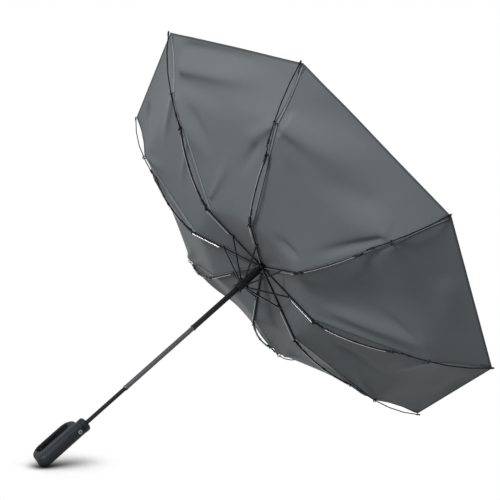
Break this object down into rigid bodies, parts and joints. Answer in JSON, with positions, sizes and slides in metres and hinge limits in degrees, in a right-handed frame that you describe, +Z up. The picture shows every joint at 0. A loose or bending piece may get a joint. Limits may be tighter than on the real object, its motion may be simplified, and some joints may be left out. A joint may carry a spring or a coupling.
{
  "type": "windproof folding umbrella",
  "caption": "Folding automatic umbrella with a carrying loop handle, blown inside out: a jointed rib frame and taut cloth on a telescopic shaft.",
  "frame": {"origin": "on the shaft's axis at the handle's lower end", "axes": "+Z up the shaft to the crown, +X out of the push button, -X towards the carrying loop"},
  "size_m": [0.9516, 0.9516, 0.7084],
  "materials": {
    "soft_black": "soft-touch satin black",
    "black_plastic": "moulded black, half gloss",
    "black_steel": "black lacquered steel",
    "dark_chrome": "dark nickel plated, glossy",
    "steel": "bright steel",
    "glass_fibre": "black glass fibre",
    "grey_pongee": "dark grey pongee, faint sheen"
  },
  "bodies": {
    "handle": {"handle_body": "soft_black", "handle_collar": "black_plastic", "gate_pin": "steel", "bottom_tube": "black_steel"},
    "push_button": {"push_button": "black_plastic"},
    "carabiner_gate": {"carabiner_gate": "soft_black"},
    "middle_shaft": {"middle_tube": "dark_chrome"},
    "top_shaft": {"top_tube": "black_steel", "top_notch": "black_plastic", "crown_cap": "black_plastic", "canopy": "grey_pongee"},
    "runner": {"runner": "black_plastic"},
    "top_rib_1": {"top_rib_1": "black_steel"},
    "stretcher_1": {"stretcher_1": "black_steel"},
    "knuckle_1": {"knuckle_1": "black_plastic"},
    "middle_rib_1": {"middle_rib_1": "glass_fibre"},
    "bracket_1": {"bracket_1": "steel"},
    "tip_rib_1": {"tip_rib_1": "glass_fibre"},
    "top_rib_2": {"top_rib_2": "black_steel"},
    "stretcher_2": {"stretcher_2": "black_steel"},
    "knuckle_2": {"knuckle_2": "black_plastic"},
    "middle_rib_2": {"middle_rib_2": "glass_fibre"},
    "bracket_2": {"bracket_2": "steel"},
    "tip_rib_2": {"tip_rib_2": "glass_fibre"},
    "top_rib_3": {"top_rib_3": "black_steel"},
    "stretcher_3": {"stretcher_3": "black_steel"},
    "knuckle_3": {"knuckle_3": "black_plastic"},
    "middle_rib_3": {"middle_rib_3": "glass_fibre"},
    "bracket_3": {"bracket_3": "steel"},
    "tip_rib_3": {"tip_rib_3": "glass_fibre"},
    "top_rib_4": {"top_rib_4": "black_steel"},
    "stretcher_4": {"stretcher_4": "black_steel"},
    "knuckle_4": {"knuckle_4": "black_plastic"},
    "middle_rib_4": {"middle_rib_4": "glass_fibre"},
    "bracket_4": {"bracket_4": "steel"},
    "tip_rib_4": {"tip_rib_4": "glass_fibre"},
    "top_rib_5": {"top_rib_5": "black_steel"},
    "stretcher_5": {"stretcher_5": "black_steel"},
    "knuckle_5": {"knuckle_5": "black_plastic"},
    "middle_rib_5": {"middle_rib_5": "glass_fibre"},
    "bracket_5": {"bracket_5": "steel"},
    "tip_rib_5": {"tip_rib_5": "glass_fibre"},
    "top_rib_6": {"top_rib_6": "black_steel"},
    "stretcher_6": {"stretcher_6": "black_steel"},
    "knuckle_6": {"knuckle_6": "black_plastic"},
    "middle_rib_6": {"middle_rib_6": "glass_fibre"},
    "bracket_6": {"bracket_6": "steel"},
    "tip_rib_6": {"tip_rib_6": "glass_fibre"},
    "top_rib_7": {"top_rib_7": "black_steel"},
    "stretcher_7": {"stretcher_7": "black_steel"},
    "knuckle_7": {"knuckle_7": "black_plastic"},
    "middle_rib_7": {"middle_rib_7": "glass_fibre"},
    "bracket_7": {"bracket_7": "steel"},
    "tip_rib_7": {"tip_rib_7": "glass_fibre"},
    "top_rib_8": {"top_rib_8": "black_steel"},
    "stretcher_8": {"stretcher_8": "black_steel"},
    "knuckle_8": {"knuckle_8": "black_plastic"},
    "middle_rib_8": {"middle_rib_8": "glass_fibre"},
    "bracket_8": {"bracket_8": "steel"},
    "tip_rib_8": {"tip_rib_8": "glass_fibre"}
  },
  "joints": [
    {"name": "push_button_press", "type": "slide", "parent": "handle", "child": "push_button", "axis": [-1, 0, 0], "range_m": [0, 0.0024], "stiffness_N_per_m": 500, "springref_m": -0.002},
    {"name": "carabiner_gate_hinge", "type": "hinge", "parent": "handle", "child": "carabiner_gate", "pos_m": [-0.0349, 0, 0.0266], "axis": [0, 1, 0], "range_deg": [0, 16], "stiffness_Nm_per_rad": 0.1, "springref_deg": -17.19},
    {"name": "middle_tube_slide", "type": "slide", "parent": "handle", "child": "middle_shaft", "axis": [0, 0, -1], "range_m": [0, 0.098]},
    {"name": "top_tube_slide", "type": "slide", "parent": "middle_shaft", "child": "top_shaft", "axis": [0, 0, -1], "range_m": [0, 0.177]},
    {"name": "runner_slide", "type": "slide", "parent": "top_shaft", "child": "runner", "axis": [0, 0, -1], "range_m": [0, 0.11906], "deforming": ["canopy"]},
    {"name": "top_rib_1_pivot", "type": "hinge", "parent": "top_shaft", "child": "top_rib_1", "pos_m": [0.00831, -0.00177, 0.5885], "axis": [0.2079, 0.9781, 0], "range_deg": [0, 77.02]},
    {"name": "stretcher_1_pivot", "type": "hinge", "parent": "runner", "child": "stretcher_1", "pos_m": [0.01027, -0.00218, 0.535], "axis": [-0.2079, -0.9781, 0], "range_deg": [0, 62.57]},
    {"name": "knuckle_1_pivot", "type": "hinge", "parent": "top_rib_1", "child": "knuckle_1", "pos_m": [0.1677, -0.03565, 0.56241], "axis": [-0.2079, -0.9781, 0], "range_deg": [0, 150.42]},
    {"name": "bracket_1_pivot", "type": "hinge", "parent": "middle_rib_1", "child": "bracket_1", "pos_m": [0.31753, -0.06749, 0.61125], "axis": [0.2079, 0.9781, 0], "range_deg": [0, 186.67]},
    {"name": "top_rib_2_pivot", "type": "hinge", "parent": "top_shaft", "child": "top_rib_2", "pos_m": [0.00713, 0.00463, 0.5885], "axis": [-0.5446, 0.8387, 0], "range_deg": [0, 77.02]},
    {"name": "stretcher_2_pivot", "type": "hinge", "parent": "runner", "child": "stretcher_2", "pos_m": [0.00881, 0.00572, 0.535], "axis": [0.5446, -0.8387, 0], "range_deg": [0, 62.57]},
    {"name": "knuckle_2_pivot", "type": "hinge", "parent": "top_rib_2", "child": "knuckle_2", "pos_m": [0.14379, 0.09338, 0.56241], "axis": [0.5446, -0.8387, 0], "range_deg": [0, 150.42]},
    {"name": "bracket_2_pivot", "type": "hinge", "parent": "middle_rib_2", "child": "bracket_2", "pos_m": [0.27225, 0.1768, 0.61125], "axis": [-0.5446, 0.8387, 0], "range_deg": [0, 186.67]},
    {"name": "top_rib_3_pivot", "type": "hinge", "parent": "top_shaft", "child": "top_rib_3", "pos_m": [0.00177, 0.00831, 0.5885], "axis": [-0.9781, 0.2079, 0], "range_deg": [0, 77.02]},
    {"name": "stretcher_3_pivot", "type": "hinge", "parent": "runner", "child": "stretcher_3", "pos_m": [0.00218, 0.01027, 0.535], "axis": [0.9781, -0.2079, 0], "range_deg": [0, 62.57]},
    {"name": "knuckle_3_pivot", "type": "hinge", "parent": "top_rib_3", "child": "knuckle_3", "pos_m": [0.03565, 0.1677, 0.56241], "axis": [0.9781, -0.2079, 0], "range_deg": [0, 150.42]},
    {"name": "bracket_3_pivot", "type": "hinge", "parent": "middle_rib_3", "child": "bracket_3", "pos_m": [0.06749, 0.31753, 0.61125], "axis": [-0.9781, 0.2079, 0], "range_deg": [0, 186.67]},
    {"name": "top_rib_4_pivot", "type": "hinge", "parent": "top_shaft", "child": "top_rib_4", "pos_m": [-0.00463, 0.00713, 0.5885], "axis": [-0.8387, -0.5446, 0], "range_deg": [0, 77.02]},
    {"name": "stretcher_4_pivot", "type": "hinge", "parent": "runner", "child": "stretcher_4", "pos_m": [-0.00572, 0.00881, 0.535], "axis": [0.8387, 0.5446, 0], "range_deg": [0, 62.57]},
    {"name": "knuckle_4_pivot", "type": "hinge", "parent": "top_rib_4", "child": "knuckle_4", "pos_m": [-0.09338, 0.14379, 0.56241], "axis": [0.8387, 0.5446, 0], "range_deg": [0, 150.42]},
    {"name": "bracket_4_pivot", "type": "hinge", "parent": "middle_rib_4", "child": "bracket_4", "pos_m": [-0.1768, 0.27225, 0.61125], "axis": [-0.8387, -0.5446, 0], "range_deg": [0, 186.67]},
    {"name": "top_rib_5_pivot", "type": "hinge", "parent": "top_shaft", "child": "top_rib_5", "pos_m": [-0.00831, 0.00177, 0.5885], "axis": [-0.2079, -0.9781, 0], "range_deg": [0, 77.02]},
    {"name": "stretcher_5_pivot", "type": "hinge", "parent": "runner", "child": "stretcher_5", "pos_m": [-0.01027, 0.00218, 0.535], "axis": [0.2079, 0.9781, 0], "range_deg": [0, 62.57]},
    {"name": "knuckle_5_pivot", "type": "hinge", "parent": "top_rib_5", "child": "knuckle_5", "pos_m": [-0.1677, 0.03565, 0.56241], "axis": [0.2079, 0.9781, 0], "range_deg": [0, 150.42]},
    {"name": "bracket_5_pivot", "type": "hinge", "parent": "middle_rib_5", "child": "bracket_5", "pos_m": [-0.31753, 0.06749, 0.61125], "axis": [-0.2079, -0.9781, 0], "range_deg": [0, 186.67]},
    {"name": "top_rib_6_pivot", "type": "hinge", "parent": "top_shaft", "child": "top_rib_6", "pos_m": [-0.00713, -0.00463, 0.5885], "axis": [0.5446, -0.8387, 0], "range_deg": [0, 77.02]},
    {"name": "stretcher_6_pivot", "type": "hinge", "parent": "runner", "child": "stretcher_6", "pos_m": [-0.00881, -0.00572, 0.535], "axis": [-0.5446, 0.8387, 0], "range_deg": [0, 62.57]},
    {"name": "knuckle_6_pivot", "type": "hinge", "parent": "top_rib_6", "child": "knuckle_6", "pos_m": [-0.14379, -0.09338, 0.56241], "axis": [-0.5446, 0.8387, 0], "range_deg": [0, 150.42]},
    {"name": "bracket_6_pivot", "type": "hinge", "parent": "middle_rib_6", "child": "bracket_6", "pos_m": [-0.27225, -0.1768, 0.61125], "axis": [0.5446, -0.8387, 0], "range_deg": [0, 186.67]},
    {"name": "top_rib_7_pivot", "type": "hinge", "parent": "top_shaft", "child": "top_rib_7", "pos_m": [-0.00177, -0.00831, 0.5885], "axis": [0.9781, -0.2079, 0], "range_deg": [0, 77.02]},
    {"name": "stretcher_7_pivot", "type": "hinge", "parent": "runner", "child": "stretcher_7", "pos_m": [-0.00218, -0.01027, 0.535], "axis": [-0.9781, 0.2079, 0], "range_deg": [0, 62.57]},
    {"name": "knuckle_7_pivot", "type": "hinge", "parent": "top_rib_7", "child": "knuckle_7", "pos_m": [-0.03565, -0.1677, 0.56241], "axis": [-0.9781, 0.2079, 0], "range_deg": [0, 150.42]},
    {"name": "bracket_7_pivot", "type": "hinge", "parent": "middle_rib_7", "child": "bracket_7", "pos_m": [-0.06749, -0.31753, 0.61125], "axis": [0.9781, -0.2079, 0], "range_deg": [0, 186.67]},
    {"name": "top_rib_8_pivot", "type": "hinge", "parent": "top_shaft", "child": "top_rib_8", "pos_m": [0.00463, -0.00713, 0.5885], "axis": [0.8387, 0.5446, 0], "range_deg": [0, 77.02]},
    {"name": "stretcher_8_pivot", "type": "hinge", "parent": "runner", "child": "stretcher_8", "pos_m": [0.00572, -0.00881, 0.535], "axis": [-0.8387, -0.5446, 0], "range_deg": [0, 62.57]},
    {"name": "knuckle_8_pivot", "type": "hinge", "parent": "top_rib_8", "child": "knuckle_8", "pos_m": [0.09338, -0.14379, 0.56241], "axis": [-0.8387, -0.5446, 0], "range_deg": [0, 150.42]},
    {"name": "bracket_8_pivot", "type": "hinge", "parent": "middle_rib_8", "child": "bracket_8", "pos_m": [0.1768, -0.27225, 0.61125], "axis": [0.8387, 0.5446, 0], "range_deg": [0, 186.67]},
    {"name": "middle_rib_1_bend", "type": "hinge", "parent": "knuckle_1", "child": "middle_rib_1", "pos_m": [0.18127, -0.03853, 0.56212], "axis": [-0.2079, -0.9781, 0], "range_deg": [-40, 0], "deforming": ["canopy"]},
    {"name": "middle_rib_2_bend", "type": "hinge", "parent": "knuckle_2", "child": "middle_rib_2", "pos_m": [0.15542, 0.10093, 0.56212], "axis": [0.5446, -0.8387, 0], "range_deg": [-40, 0]},
    {"name": "middle_rib_3_bend", "type": "hinge", "parent": "knuckle_3", "child": "middle_rib_3", "pos_m": [0.03853, 0.18127, 0.56212], "axis": [0.9781, -0.2079, 0], "range_deg": [-40, 0]},
    {"name": "middle_rib_4_bend", "type": "hinge", "parent": "knuckle_4", "child": "middle_rib_4", "pos_m": [-0.10093, 0.15542, 0.56212], "axis": [0.8387, 0.5446, 0], "range_deg": [-40, 0]},
    {"name": "middle_rib_5_bend", "type": "hinge", "parent": "knuckle_5", "child": "middle_rib_5", "pos_m": [-0.18127, 0.03853, 0.56212], "axis": [0.2079, 0.9781, 0], "range_deg": [-40, 0]},
    {"name": "middle_rib_6_bend", "type": "hinge", "parent": "knuckle_6", "child": "middle_rib_6", "pos_m": [-0.15542, -0.10093, 0.56212], "axis": [-0.5446, 0.8387, 0], "range_deg": [-40, 0]},
    {"name": "middle_rib_7_bend", "type": "hinge", "parent": "knuckle_7", "child": "middle_rib_7", "pos_m": [-0.03853, -0.18127, 0.56212], "axis": [-0.9781, 0.2079, 0], "range_deg": [-40, 0]},
    {"name": "middle_rib_8_bend", "type": "hinge", "parent": "knuckle_8", "child": "middle_rib_8", "pos_m": [0.10093, -0.15542, 0.56212], "axis": [-0.8387, -0.5446, 0], "range_deg": [-40, 0]},
    {"name": "tip_rib_1_bend", "type": "hinge", "parent": "bracket_1", "child": "tip_rib_1", "pos_m": [0.3304, -0.07023, 0.61606], "axis": [-0.2079, -0.9781, 0], "range_deg": [-24.02, 0]},
    {"name": "tip_rib_2_bend", "type": "hinge", "parent": "bracket_2", "child": "tip_rib_2", "pos_m": [0.28328, 0.18397, 0.61606], "axis": [0.5446, -0.8387, 0], "range_deg": [-24.02, 0]},
    {"name": "tip_rib_3_bend", "type": "hinge", "parent": "bracket_3", "child": "tip_rib_3", "pos_m": [0.07023, 0.3304, 0.61606], "axis": [0.9781, -0.2079, 0], "range_deg": [-24.02, 0]},
    {"name": "tip_rib_4_bend", "type": "hinge", "parent": "bracket_4", "child": "tip_rib_4", "pos_m": [-0.18397, 0.28328, 0.61606], "axis": [0.8387, 0.5446, 0], "range_deg": [-24.02, 0]},
    {"name": "tip_rib_5_bend", "type": "hinge", "parent": "bracket_5", "child": "tip_rib_5", "pos_m": [-0.3304, 0.07023, 0.61606], "axis": [0.2079, 0.9781, 0], "range_deg": [-24.02, 0]},
    {"name": "tip_rib_6_bend", "type": "hinge", "parent": "bracket_6", "child": "tip_rib_6", "pos_m": [-0.28328, -0.18397, 0.61606], "axis": [-0.5446, 0.8387, 0], "range_deg": [-24.02, 0]},
    {"name": "tip_rib_7_bend", "type": "hinge", "parent": "bracket_7", "child": "tip_rib_7", "pos_m": [-0.07023, -0.3304, 0.61606], "axis": [-0.9781, 0.2079, 0], "range_deg": [-24.02, 0]},
    {"name": "tip_rib_8_bend", "type": "hinge", "parent": "bracket_8", "child": "tip_rib_8", "pos_m": [0.18397, -0.28328, 0.61606], "axis": [-0.8387, -0.5446, 0], "range_deg": [-24.02, 0]}
  ],
  "couplings": [
    {"joint": "top_rib_1_pivot", "follows": "runner_slide", "rad_per_m": 11.288},
    {"joint": "stretcher_1_pivot", "follows": "runner_slide", "rad_per_m": 9.1698},
    {"joint": "knuckle_1_pivot", "follows": "runner_slide", "rad_per_m": 22.047},
    {"joint": "bracket_1_pivot", "follows": "runner_slide", "rad_per_m": 27.361},
    {"joint": "top_rib_2_pivot", "follows": "runner_slide", "rad_per_m": 11.288},
    {"joint": "stretcher_2_pivot", "follows": "runner_slide", "rad_per_m": 9.1698},
    {"joint": "knuckle_2_pivot", "follows": "runner_slide", "rad_per_m": 22.047},
    {"joint": "bracket_2_pivot", "follows": "runner_slide", "rad_per_m": 27.361},
    {"joint": "top_rib_3_pivot", "follows": "runner_slide", "rad_per_m": 11.288},
    {"joint": "stretcher_3_pivot", "follows": "runner_slide", "rad_per_m": 9.1698},
    {"joint": "knuckle_3_pivot", "follows": "runner_slide", "rad_per_m": 22.047},
    {"joint": "bracket_3_pivot", "follows": "runner_slide", "rad_per_m": 27.361},
    {"joint": "top_rib_4_pivot", "follows": "runner_slide", "rad_per_m": 11.288},
    {"joint": "stretcher_4_pivot", "follows": "runner_slide", "rad_per_m": 9.1698},
    {"joint": "knuckle_4_pivot", "follows": "runner_slide", "rad_per_m": 22.047},
    {"joint": "bracket_4_pivot", "follows": "runner_slide", "rad_per_m": 27.361},
    {"joint": "top_rib_5_pivot", "follows": "runner_slide", "rad_per_m": 11.288},
    {"joint": "stretcher_5_pivot", "follows": "runner_slide", "rad_per_m": 9.1698},
    {"joint": "knuckle_5_pivot", "follows": "runner_slide", "rad_per_m": 22.047},
    {"joint": "bracket_5_pivot", "follows": "runner_slide", "rad_per_m": 27.361},
    {"joint": "top_rib_6_pivot", "follows": "runner_slide", "rad_per_m": 11.288},
    {"joint": "stretcher_6_pivot", "follows": "runner_slide", "rad_per_m": 9.1698},
    {"joint": "knuckle_6_pivot", "follows": "runner_slide", "rad_per_m": 22.047},
    {"joint": "bracket_6_pivot", "follows": "runner_slide", "rad_per_m": 27.361},
    {"joint": "top_rib_7_pivot", "follows": "runner_slide", "rad_per_m": 11.288},
    {"joint": "stretcher_7_pivot", "follows": "runner_slide", "rad_per_m": 9.1698},
    {"joint": "knuckle_7_pivot", "follows": "runner_slide", "rad_per_m": 22.047},
    {"joint": "bracket_7_pivot", "follows": "runner_slide", "rad_per_m": 27.361},
    {"joint": "top_rib_8_pivot", "follows": "runner_slide", "rad_per_m": 11.288},
    {"joint": "stretcher_8_pivot", "follows": "runner_slide", "rad_per_m": 9.1698},
    {"joint": "knuckle_8_pivot", "follows": "runner_slide", "rad_per_m": 22.047},
    {"joint": "bracket_8_pivot", "follows": "runner_slide", "rad_per_m": 27.361},
    {"joint": "middle_rib_2_bend", "follows": "middle_rib_1_bend", "ratio": 1},
    {"joint": "middle_rib_3_bend", "follows": "middle_rib_1_bend", "ratio": 1},
    {"joint": "middle_rib_4_bend", "follows": "middle_rib_1_bend", "ratio": 1},
    {"joint": "middle_rib_5_bend", "follows": "middle_rib_1_bend", "ratio": 1},
    {"joint": "middle_rib_6_bend", "follows": "middle_rib_1_bend", "ratio": 1},
    {"joint": "middle_rib_7_bend", "follows": "middle_rib_1_bend", "ratio": 1},
    {"joint": "middle_rib_8_bend", "follows": "middle_rib_1_bend", "ratio": 1},
    {"joint": "tip_rib_1_bend", "follows": "middle_rib_1_bend", "ratio": 0.6},
    {"joint": "tip_rib_2_bend", "follows": "middle_rib_1_bend", "ratio": 0.6},
    {"joint": "tip_rib_3_bend", "follows": "middle_rib_1_bend", "ratio": 0.6},
    {"joint": "tip_rib_4_bend", "follows": "middle_rib_1_bend", "ratio": 0.6},
    {"joint": "tip_rib_5_bend", "follows": "middle_rib_1_bend", "ratio": 0.6},
    {"joint": "tip_rib_6_bend", "follows": "middle_rib_1_bend", "ratio": 0.6},
    {"joint": "tip_rib_7_bend", "follows": "middle_rib_1_bend", "ratio": 0.6},
    {"joint": "tip_rib_8_bend", "follows": "middle_rib_1_bend", "ratio": 0.6}
  ]
}
